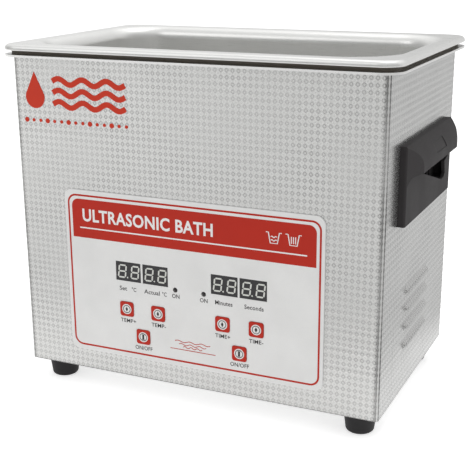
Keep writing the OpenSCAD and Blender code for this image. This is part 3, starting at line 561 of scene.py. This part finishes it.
def skin_gaps():
    """Rectangles of s and z that the relief leaves open: left, low, right, high."""
    low, high = box_mm("control_overlay")
    gaps = [(low[0] + TUCKED_PANEL, low[2] + TUCKED_PANEL,
             high[0] - TUCKED_PANEL, high[2] - TUCKED_PANEL)]
    low, high = box_mm("handle_right")
    spans = [(low[1] + TUCKED, high[1] - TUCKED, low[2] + TUCKED, high[2] - TUCKED)]
    spans += [(-LOUVRE_L / 2, LOUVRE_L / 2, z - LOUVRE_MOUTH, z) for z in LOUVRES]
    for turn in (1, -1):
        for y0, y1, z0, z1 in spans:
            left, right = sorted(turn * s_of_y(turn * y) for y in (y0, y1))
            gaps.append((left, z0, right, z1))
    return gaps


def is_open(gaps, s, z):
    """Whether a place lies in one of the gaps."""
    return any(left < s < right and low < z < high for left, low, right, high in gaps)


def louvre_height(y, z):
    """How far a louvre's hood stands out of the side wall at this place."""
    for low in LOUVRES:
        along = max(0.0, abs(y) - LOUVRE_L / 2 + LOUVRE_R)
        inside = LOUVRE_R ** 2 - along ** 2 - (z - low) ** 2
        if 0 <= z - low < LOUVRE_R and inside > LOUVRE_SUNK ** 2:
            return math.sqrt(inside) - LOUVRE_SUNK
    return 0.0


def skin_grid(gaps):
    """Columns of s and rows of z, with lines along the gaps, the hoods, the folds and the top of the
    painted shadow along the lower edge.
    """
    across = [sign * (LOUVRE_L / 2 - inset) for inset in HOOD_COLUMNS for sign in (1, -1)]
    columns = {sign * s_of_y(y) for y in across for sign in (1, -1)}
    columns |= {sign * s for s in (FOLD_START, FOLD_END) for sign in (1, -1)}
    columns |= {gap[i] for gap in gaps for i in (0, 2)}
    rows = {low + step for low in LOUVRES for step in HOOD_ROWS}
    rows |= {gap[i] for gap in gaps for i in (1, 3)}
    rows.add(HOUSING_LOW + PAINTED_HEM_SHADOW)
    end = s_of_y(REAR - REAR_INSET)
    return (lines_between(-end, end, PITCH_X / 2, sorted(columns)),
            lines_between(HOUSING_LOW + EDGE_INSET, HOUSING_TOP - EDGE_INSET, PITCH_Z / 2, sorted(rows)))


def skin_point(s, z, is_back):
    """Place of a corner of the relief, in metres."""
    lift = SKIN_BACK
    if not is_back:
        waves = math.cos(2 * math.pi * s / PITCH_X) + math.cos(2 * math.pi * z / PITCH_Z)
        lift = SKIN_LIFT + RELIEF * waves / 2
    if abs(s) > FOLD_END:
        lift += louvre_height(fold_point(s, 0)[1], z)
    x, y = fold_point(s, lift)
    return x * MM, y * MM, z * MM


def painted_shade_at(s, z):
    """Share of painted shade: 0 on the front, 1 on the sides, and more on the folds and in a painted shadow
    along the lower edge.
    """
    on_fold = abs(abs(s) - (FOLD_START + FOLD_END) / 2) < FOLD_R
    if on_fold or z < HOUSING_LOW + PAINTED_HEM_SHADOW / 2:
        return PAINTED_FOLD_SHADE
    return 0.0 if abs(s) < FOLD_START else 1.0


def sheet_faces(cells, corners):
    """Faces of the front and the back of the cells, and of every free edge between them."""
    number = {corner: n for n, corner in enumerate(corners)}
    behind = len(corners)
    faces, edges = [], []
    for i, j in cells:
        ring = [number[corner] for corner in ((i, j), (i + 1, j), (i + 1, j + 1), (i, j + 1))]
        faces.append(ring)
        faces.append([n + behind for n in reversed(ring)])
        edges += zip(ring, ring[1:] + ring[:1])
    known = set(edges)
    for a, b in edges:
        if (b, a) not in known:
            faces.append([b, a, a + behind, b + behind])
    return faces


def embossed_skin():
    """Thin closed relief over the front and both sides, in one piece as the sheet is folded."""
    gaps = skin_gaps()
    columns, rows = skin_grid(gaps)
    cells = []
    for i in range(len(columns) - 1):
        for j in range(len(rows) - 1):
            if not is_open(gaps, (columns[i] + columns[i + 1]) / 2, (rows[j] + rows[j + 1]) / 2):
                cells.append((i, j))
    corners = sorted({(i + a, j + b) for i, j in cells for a in (0, 1) for b in (0, 1)})
    verts, lattice = [], []
    for is_back in (False, True):
        for i, j in corners:
            s, z = columns[i], rows[j]
            verts.append(skin_point(s, z, is_back))
            lattice += (s / PITCH_X, z / PITCH_Z, painted_shade_at(s, z))
    faces = sheet_faces(cells, corners)
    finish = embossed("embossed_sheet", STEEL)
    skin = make_piece("embossed_skin", verts, faces, finish, "housing")
    skin.data.attributes.new("lattice", "FLOAT_VECTOR", "POINT").data.foreach_set("vector", lattice)
    for face in skin.data.polygons:
        face.use_smooth = True


# ---------- emblem ----------

EMBLEM_DEPTH = 0.44     # thick enough to stand clear of the sheet's relief
DROP_R = 7.4
DROP_TALL = 16.6        # from the middle of the drop's round foot to its point
DROP_AT = (-112.1, 203.0)
EMBLEM_WAVES = (214.0, 206.5, 199.1)
WAVE_ENDS = (-98.1, -43.6)
WAVE_RISE = 1.9
WAVE_THICK = 3.6
BUBBLES = 15
BUBBLE_AT = (-119.7, 187.7)     # middle of the first one
BUBBLE_STEP = 5.45
BIG_BUBBLE_R = 1.65
SMALL_BUBBLE_R = 1.15


def wave_line(x0, x1, z, height, waves, width, steps=10):
    """Sine line from x0 to x1 about z, with steps points to a wave."""
    count = int(steps * waves)
    points = []
    for i in range(count + 1):
        t = i / count
        points.append((x0 + (x1 - x0) * t, z + height * math.sin(2 * math.pi * waves * t)))
    return ribbon_loop(points, width)


def drop_loop():
    """Teardrop: round at the foot, drawn up to a point."""
    x, z = DROP_AT
    loop = []
    for i in range(25):
        a = math.radians(-218 + 256 * i / 24)
        loop.append((x + DROP_R * math.cos(a), z + DROP_R * math.sin(a)))
    loop.append((x, z + DROP_TALL))
    return loop


def emblem():
    """Drop and waves on the upper left of the front, with a row of bubbles under them."""
    mark = Print(FRONT, depth=EMBLEM_DEPTH)
    mark.shapes([drop_loop()])
    for z in EMBLEM_WAVES:
        mark.shapes([wave_line(*WAVE_ENDS, z, WAVE_RISE, 3, WAVE_THICK)])
    for i in range(BUBBLES):
        r = SMALL_BUBBLE_R if i % 3 else BIG_BUBBLE_R
        mark.shapes([disc_loop(BUBBLE_AT[0] + i * BUBBLE_STEP, BUBBLE_AT[1], r, 20)])
    mark.piece("emblem", printed("emblem_ink", (0.60, 0.040, 0.016), 0.4), "housing", "key_plastic")


# ---------- printed panel ----------

# Places on the panel are measured from the middle of the overlay.
BORDER_LINE = 1.25
TITLE = "ULTRASONIC BATH"
TITLE_BOLD = 0.026
LABEL_BOLD = 0.012


def border_loop(inset):
    """Rounded rectangle of the border line's outer edge, or further in."""
    return round_loop(inset - 90.2, inset - 53.9, 90.2 - inset, 54.0 - inset, (6.3 - inset,) * 4)


def panel_reds():
    """Border line, header, and a small wave ornament over a rule."""
    ink = Print(OVERLAY_FACE, PANEL)
    ink.shapes([border_loop(0), border_loop(BORDER_LINE)])
    ink.shapes([round_loop(-87.0, 24.3, 87.0, 50.9, (0, 0, 5, 5))])
    ink.shapes([box_loop(-15.0, -45.1, 18.3, -44.6)])
    for z, half in ((-39.1, 13.0), (-41.1, 10.0), (-42.9, 7.0)):
        ink.shapes([wave_line(1.6 - half, 1.6 + half, z, 0.55, 3, 0.5, 8)])
    ink.piece("panel_red_print", printed("red_ink", RED), "housing", "overlay_film")


def tub_icon(x):
    """Outline of a tub with flared sides, 10.5 wide, as one line."""
    rim, foot = 43.5, 36.6
    points = [(x, rim), (x + 1.6, rim), (x + 2.9, foot), (x + 7.6, foot), (x + 8.9, rim), (x + 10.5, rim)]
    return ribbon_loop(points, 0.7)


def panel_whites():
    """White print on the red header: title, rule and two tub signs."""
    ink = Print(OVERLAY_FACE - INK, PANEL)
    ink.words(TITLE, -79.0, 17.5, 36.1, 8.0, TITLE_BOLD)
    ink.shapes([box_loop(-81.4, 30.8, 81.0, 31.7)])
    for x in (53.8, 66.8):
        ink.shapes([tub_icon(x)])
    for z in (38.5, 40.7):
        ink.shapes([wave_line(57.1, 61.0, z, 0.4, 1.5, 0.6)])
    for x in (70.6, 72.0, 73.4):
        ink.shapes([box_loop(x - 0.3, 37.7, x + 0.3, 42.1)])
    ink.piece("panel_white_print", printed("white_ink", (0.86, 0.85, 0.84)), "housing", "overlay_film")


# Words, left and right ends, base line and capital height
LABELS = (
    ("Set", -52.5, -46.8, -9.1, 2.8), ("°C", -43.1, -39.8, -9.1, 2.7),
    ("Actual", -33.7, -22.0, -9.1, 2.8), ("°C", -20.1, -16.8, -9.1, 2.7),
    ("ON", -12.8, -7.3, -9.2, 2.7), ("ON", 7.6, 13.1, -9.2, 2.7),
    ("Minutes", 18.5, 30.8, -9.1, 2.8), ("Seconds", 39.1, 52.4, -9.1, 2.8),
    ("TEMP+", -52.5, -40.8, -31.8, 2.6), ("TEMP-", -28.9, -18.0, -31.8, 2.6),
    ("TIME+", 18.3, 29.0, -31.8, 2.6), ("TIME-", 42.3, 52.2, -31.8, 2.6),
    ("ON/OFF", -41.9, -28.8, -50.0, 2.7), ("ON/OFF", 28.9, 42.2, -50.0, 2.7),
)


def panel_blacks():
    """The words under the displays, lamps and keys."""
    ink = Print(OVERLAY_FACE, PANEL)
    for text, left, right, base, cap in LABELS:
        ink.words(text, left, right, base, cap, LABEL_BOLD)
    ink.piece("panel_black_print", printed("black_ink", (0.045, 0.043, 0.045)), "housing", "overlay_film")


# ---------- displays ----------

DISPLAYS = ("display_set_temp", "display_actual_temp", "display_minutes", "display_seconds")
DIGIT_W = 5.2
DIGIT_H = 8.4
DIGITS_AT = (-7.65, 1.95)       # left ends of a display's two digits, from its middle
DIGIT_LEAN = math.tan(math.radians(7))
SEGMENT_HALF = 0.52             # half a segment's width
SEGMENT_TRIM = 0.22             # how far its points stop short of the corners
# Ends of the seven segments, in digit widths and half heights
SEGMENTS = (
    ((0, 2), (1, 2)), ((0, 1), (1, 1)), ((0, 0), (1, 0)),
    ((0, 1), (0, 2)), ((1, 1), (1, 2)), ((0, 0), (0, 1)), ((1, 0), (1, 1)),
)


def segment_loop(a, b):
    """Long hexagon from a to b, trimmed at both ends."""
    run = math.hypot(b[0] - a[0], b[1] - a[1])
    ux, uz = (b[0] - a[0]) / run, (b[1] - a[1]) / run

    def corner(end, along, aside):
        return end[0] + ux * along - uz * aside, end[1] + uz * along + ux * aside

    tip, shoulder, half = SEGMENT_TRIM, SEGMENT_TRIM + SEGMENT_HALF, SEGMENT_HALF
    return [corner(a, tip, 0), corner(a, shoulder, half), corner(b, -shoulder, half),
            corner(b, -tip, 0), corner(b, -shoulder, -half), corner(a, shoulder, -half)]


def digit_loops(x, z):
    """Seven slanted segments of a digit whose lower left corner is at x and z."""
    loops = []
    for ends in SEGMENTS:
        a, b = [(x + DIGIT_W * across, z + DIGIT_H * up / 2) for across, up in ends]
        loops.append([(px + (pz - z) * DIGIT_LEAN, pz) for px, pz in segment_loop(a, b)])
    return loops


def display_digits():
    """Two unlit digits, with one point after the first, in every display window."""
    for node in DISPLAYS:
        ink = Print(DISPLAY_FACE, middle(node))
        for left in DIGITS_AT:
            for loop in digit_loops(left, -DIGIT_H / 2):
                ink.shapes([loop])
        ink.shapes([disc_loop(-0.75, 0.1 - DIGIT_H / 2, 0.55, 16)])
        grey = printed(node + "_segments", DIGIT_GREY, 0.35)
        ink.piece(node + "_digits", grey, "housing", "display_plastic")


# ---------- keys ----------

KEYS = ("temp_up", "temp_down", "heat", "time_up", "time_down", "sonic")
SWITCHING_KEYS = ("heat", "sonic")
KEY_DISC_R = 3.55
KEY_RING_R = (2.8, 2.35)        # outside and inside


def key_signs():
    """White disc on each key, with a thin ring and a pointer, or a bar on the two switching keys."""
    white = printed("key_white_ink", WHITE)
    black = printed("key_black_ink", BLACK)
    for key in KEYS:
        centre = middle("key_" + key)
        disc = Print(KEY_FACE, centre)
        disc.shapes([disc_loop(0, 0, KEY_DISC_R)])
        disc.piece("key_" + key + "_disc", white, key + "_key", "key_plastic")
        sign = Print(KEY_FACE - INK, centre)
        sign.shapes([disc_loop(0, 0, r) for r in KEY_RING_R])
        if key in SWITCHING_KEYS:
            sign.shapes([box_loop(-0.7, -1.7, 0.7, 1.7)])
            sign.shapes([box_loop(-1.1, -1.9, 1.1, -1.75)])
            sign.shapes([box_loop(-1.1, 1.75, 1.1, 1.9)])
        else:
            sign.shapes([[(-0.95, 0), (0, -1.8), (0.95, 0), (0, 1.8)]])
        sign.piece("key_" + key + "_sign", black, key + "_key", "key_plastic")


# ---------- stage ----------

FLOOR_HALF = 6.0        # half the floor's width, in metres
FLOOR_STEPS = 12
FLOOR_GLOW = 0.60
RIGHT_DIM = 0.80        # share of the glow lost to the right of the object
ASIDE_SLOPE = 0.2035    # that part starts along the slanting line x + slope * y = start
ASIDE_START = 0.155
ASIDE_END = 0.19        # and is at its full along this one
FRONT_DIM = 0.62        # share of the glow lost in front of the object
FRONT_Y = (-0.14, -0.26)        # where the loss in front starts and is at its full
FRONT_X = (-1.1, -0.05)         # it grows from left to right too


def floor_glow(mat):
    """Glow of the floor, less to the right of the object and in front of it."""
    parts = add_node(mat, "ShaderNodeSeparateXYZ", {"Vector": local_point(mat)})
    x, y = parts.outputs["X"], parts.outputs["Y"]
    aside = math_node(mat, "ADD", x, math_node(mat, "MULTIPLY", y, ASIDE_SLOPE))
    right = math_node(mat, "MULTIPLY", smooth_ramp(mat, aside, ASIDE_START, ASIDE_END), RIGHT_DIM)
    before = math_node(mat, "MULTIPLY", smooth_ramp(mat, y, *FRONT_Y), FRONT_DIM)
    front = math_node(mat, "MULTIPLY", smooth_ramp(mat, x, *FRONT_X), before)
    kept = math_node(mat, "SUBTRACT", 1.0, math_node(mat, "MAXIMUM", right, front))
    return math_node(mat, "MULTIPLY", kept, FLOOR_GLOW)


def floor():
    """Wide pale floor with a very faint unevenness in its tone, and a painted glow that is dimmer to the
    right of the object and in front of it.
    """
    ticks = [FLOOR_HALF * (2 * i / FLOOR_STEPS - 1) for i in range(FLOOR_STEPS + 1)]
    verts = [(x, y, 0.0) for x in ticks for y in ticks]
    faces = []
    row = len(ticks)
    for i in range(FLOOR_STEPS):
        for j in range(FLOOR_STEPS):
            a = i * row + j
            faces.append((a, a + row, a + row + 1, a + 1))
    mesh = bpy.data.meshes.new("floor")
    mesh.from_pydata(verts, [], faces)
    mat, shader = new_material("floor_paper", 0.0, 0.9)
    tone = mix_colour(mat, vary(mat, noise(mat, 300), 0, 1), (0.76, 0.76, 0.76, 1), (0.79, 0.79, 0.79, 1))
    link(mat, tone, shader.inputs["Base Color"])
    shader.inputs["Specular IOR Level"].default_value = 0.0
    shader.inputs["Emission Color"].default_value = (1, 1, 1, 1)
    link(mat, floor_glow(mat), shader.inputs["Emission Strength"])
    mesh.materials.append(mat)
    piece = bpy.data.objects.new("floor", mesh)
    bpy.context.scene.collection.objects.link(piece)


SKY_FRONT = 0.42        # brightness of the sky in front of the object
SKY_BEHIND = 0.38       # added behind it
SKY_ABOVE = 0.5         # and overhead
GAP_AT = -0.12          # x of the gap's middle, in a direction of length 1
GAP_WIDE = 0.42
GAP_DARK = 0.6          # share of the brightness lost there


def sky():
    """Soft white surroundings: brightest behind and above, with a darker gap low at the rear."""
    world = bpy.data.worlds.new("studio")
    bpy.context.scene.world = world
    world.use_nodes = True
    backdrop = world.node_tree.nodes["Background"]
    backdrop.inputs["Color"].default_value = (1, 1, 1, 1)
    direction = add_node(world, "ShaderNodeTexCoord").outputs["Generated"]
    parts = add_node(world, "ShaderNodeSeparateXYZ", {"Vector": direction})
    x, y, z = (parts.outputs[axis] for axis in "XYZ")
    behind = math_node(world, "MULTIPLY", smooth_ramp(world, y, -0.1, 0.5), SKY_BEHIND)
    above = math_node(world, "MULTIPLY", smooth_ramp(world, z, 0.2, 1.0), SKY_ABOVE)
    bright = math_node(world, "ADD", math_node(world, "ADD", behind, above), SKY_FRONT)
    off_gap = math_node(world, "ABSOLUTE", math_node(world, "SUBTRACT", x, GAP_AT))
    gap = math_node(world, "MULTIPLY", smooth_ramp(world, off_gap, GAP_WIDE, 0.0),
                    smooth_ramp(world, z, 0.5, 0.1))
    kept = math_node(world, "SUBTRACT", 1.0, math_node(world, "MULTIPLY", gap, GAP_DARK))
    link(world, math_node(world, "MULTIPLY", bright, kept), backdrop.inputs["Strength"])


AIM = (0, 0, 0.1)       # where both lights point


def soft_light(name, at, size, power):
    """Rectangular light, in metres and watts."""
    data = bpy.data.lights.new(name, "AREA")
    data.shape = "RECTANGLE"
    data.size, data.size_y = size
    data.energy = power
    lamp = bpy.data.objects.new(name, data)
    lamp.location = at
    lamp.rotation_euler = (Vector(AIM) - Vector(at)).to_track_quat("-Z", "Y").to_euler()
    bpy.context.scene.collection.objects.link(lamp)


def lights():
    """A key light from the front left and a top light from just behind."""
    soft_light("key_light", (-1.1, -1.5, 1.6), (1.2, 1.0), 3.5)
    soft_light("top_light", (0.2, 0.3, 1.9), (1.4, 1.0), 4.5)


def camera():
    """The viewing angle: from the front right, a little above."""
    data = bpy.data.cameras.new("camera")
    data.sensor_width = 36.0
    data.lens = 77.635
    data.shift_x = 0.0082
    data.shift_y = 0.0276
    data.clip_start = 0.01
    yaw, pitch, roll = (math.radians(angle) for angle in (-24.886, -17.046, -0.432))
    ahead = Vector((math.sin(yaw) * math.cos(pitch), math.cos(yaw) * math.cos(pitch), math.sin(pitch)))
    eye = bpy.data.objects.new("camera", data)
    eye.location = (0.28561, -0.63157, 0.30275)
    level = ahead.to_track_quat("-Z", "Y")
    eye.rotation_euler = (level @ Quaternion((0, 0, 1), roll)).to_euler()
    bpy.context.scene.collection.objects.link(eye)
    bpy.context.scene.camera = eye


camera()
dress_frame()
emblem()
panel_reds()
panel_whites()
panel_blacks()
display_digits()
key_signs()
embossed_skin()
floor()
sky()
lights()
bpy.context.scene.view_settings.view_transform = "Standard"
